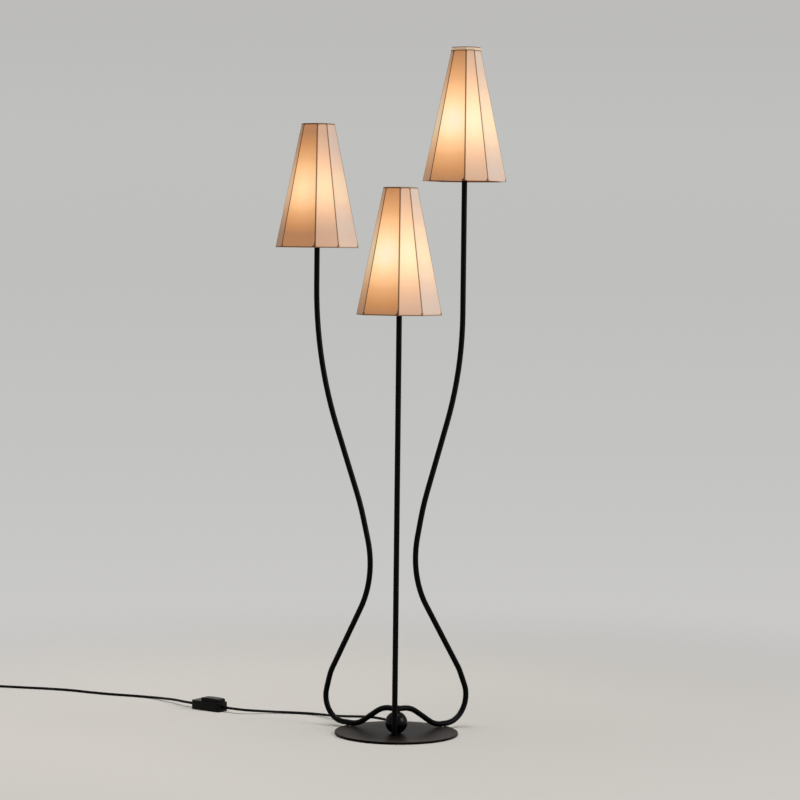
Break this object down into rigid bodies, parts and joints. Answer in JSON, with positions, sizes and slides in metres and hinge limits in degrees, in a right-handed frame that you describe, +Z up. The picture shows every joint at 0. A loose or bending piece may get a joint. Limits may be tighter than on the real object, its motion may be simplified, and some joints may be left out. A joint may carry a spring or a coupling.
{
  "type": "tree floor lamp",
  "caption": "Tree floor lamp: bent tube stems rise from a ball on a round base and carry lit faceted cone shades at stepped heights; floor cord with foot switch.",
  "frame": {"origin": "middle of the round base's underside, on the floor", "axes": "+Z up along the stems' upright ends; +X to the right and +Y to the back for someone facing the lamp's front, where the centre stem stands before the ball"},
  "size_m": [1.3406, 0.7681, 1.563],
  "materials": {
    "base_paint": "very dark brown-black satin paint on the round plate",
    "stem_paint": "near-black satin paint on the bent steel tubes and their coupling",
    "ball_enamel": "glossy black enamel on the hub ball",
    "felt_pad": "dark felt under the plate",
    "steel": "bright zinc plated screws, threaded inserts and spring",
    "brass": "brass nipples, contacts and plug pins",
    "link_tube": "short painted tube between ball and centre stem",
    "wire_sheath": "black sheath of the two-core wire inside the stems",
    "terminal_block": "off-white moulded terminal block",
    "holder_plastic": "black moulded lampholder and clamp ring",
    "shade_wire": "dark brown coated wire frame",
    "shade_fabric": "cream woven fabric that glows when lit",
    "shade_trim": "cream trim band round the top of the tall shade",
    "bulb_glass": "frosted glass of the bulb",
    "bulb_cap": "screw cap of the bulb",
    "cord_sheath": "black flexible cord and its sleeves",
    "switch_plastic": "black moulded foot switch",
    "plug_plastic": "black moulded plug"
  },
  "bodies": {
    "lamp": {"base_plate": "base_paint", "base_pad": "felt_pad", "hub_ball": "ball_enamel", "hub_screw": "steel", "hub_relief": "cord_sheath", "stem_screws": "steel", "stem_inserts": "steel", "stem_nipples": "brass", "arch_coupling": "stem_paint", "post_link": "link_tube", "terminal_block": "terminal_block", "left_stem": "stem_paint", "right_stem": "stem_paint", "centre_stem": "stem_paint", "cord_lead": "cord_sheath", "cord_run": "cord_sheath", "cord_coil": "cord_sheath", "cord_tail": "cord_sheath", "coil_tie": "cord_sheath", "plug_body": "plug_plastic", "plug_pins": "brass", "switch_base": "switch_plastic", "switch_cover": "switch_plastic", "switch_reliefs": "cord_sheath", "switch_screws": "steel", "switch_contacts": "brass", "switch_spring": "steel", "left_wire": "wire_sheath", "left_lampholder": "holder_plastic", "left_contacts": "brass", "left_clamp_ring": "holder_plastic", "centre_wire": "wire_sheath", "centre_lampholder": "holder_plastic", "centre_contacts": "brass", "centre_clamp_ring": "holder_plastic", "right_wire": "wire_sheath", "right_lampholder": "holder_plastic", "right_contacts": "brass", "right_clamp_ring": "holder_plastic"},
    "left_shade": {"left_shade_fabric": "shade_fabric", "left_shade_ribs": "shade_wire", "left_shade_spider": "shade_wire"},
    "left_bulb_lift": {"left_bulb_tip": "brass"},
    "left_bulb": {"left_bulb_cap": "bulb_cap", "left_bulb_glass": "bulb_glass"},
    "centre_shade": {"centre_shade_fabric": "shade_fabric", "centre_shade_ribs": "shade_wire", "centre_shade_spider": "shade_wire"},
    "centre_bulb_lift": {"centre_bulb_tip": "brass"},
    "centre_bulb": {"centre_bulb_cap": "bulb_cap", "centre_bulb_glass": "bulb_glass"},
    "right_shade": {"right_shade_fabric": "shade_fabric", "right_shade_ribs": "shade_wire", "right_shade_spider": "shade_wire", "right_shade_band": "shade_trim"},
    "right_bulb_lift": {"right_bulb_tip": "brass"},
    "right_bulb": {"right_bulb_cap": "bulb_cap", "right_bulb_glass": "bulb_glass"},
    "pedal": {"switch_pedal": "switch_plastic"}
  },
  "joints": [
    {"name": "left_shade_turn", "type": "hinge", "parent": "lamp", "child": "left_shade", "pos_m": [-0.19545, 0.15398, 1.148], "axis": [0, 0, 1], "continuous": true},
    {"name": "left_bulb_rise", "type": "slide", "parent": "lamp", "child": "left_bulb_lift", "axis": [0, 0, 1], "range_m": [0, 0.0142]},
    {"name": "left_bulb_turn", "type": "hinge", "parent": "left_bulb_lift", "child": "left_bulb", "pos_m": [-0.19545, 0.15398, 1.148], "axis": [0, 0, 1], "range_deg": [0, 1800]},
    {"name": "centre_shade_turn", "type": "hinge", "parent": "lamp", "child": "centre_shade", "pos_m": [-0.004, -0.0538, 0.9995], "axis": [0, 0, 1], "continuous": true},
    {"name": "centre_bulb_rise", "type": "slide", "parent": "lamp", "child": "centre_bulb_lift", "axis": [0, 0, 1], "range_m": [0, 0.0142]},
    {"name": "centre_bulb_turn", "type": "hinge", "parent": "centre_bulb_lift", "child": "centre_bulb", "pos_m": [-0.004, -0.0538, 0.9995], "axis": [0, 0, 1], "range_deg": [0, 1800]},
    {"name": "right_shade_turn", "type": "hinge", "parent": "lamp", "child": "right_shade", "pos_m": [0.14194, 0.1058, 1.303], "axis": [0, 0, 1], "continuous": true},
    {"name": "right_bulb_rise", "type": "slide", "parent": "lamp", "child": "right_bulb_lift", "axis": [0, 0, 1], "range_m": [0, 0.0142]},
    {"name": "right_bulb_turn", "type": "hinge", "parent": "right_bulb_lift", "child": "right_bulb", "pos_m": [0.14194, 0.1058, 1.303], "axis": [0, 0, 1], "range_deg": [0, 1800]},
    {"name": "pedal_press", "type": "hinge", "parent": "lamp", "child": "pedal", "pos_m": [-0.42084, 0.28484, 0.019], "axis": [-0.6018, -0.7986, 0], "range_deg": [0, 4], "stiffness_Nm_per_rad": 1.5, "springref_deg": -1.72, "deforming": ["switch_spring"]}
  ],
  "couplings": [
    {"joint": "left_bulb_rise", "follows": "left_bulb_turn", "m_per_rad": 0.00044882},
    {"joint": "centre_bulb_rise", "follows": "centre_bulb_turn", "m_per_rad": 0.00044882},
    {"joint": "right_bulb_rise", "follows": "right_bulb_turn", "m_per_rad": 0.00044882}
  ]
}
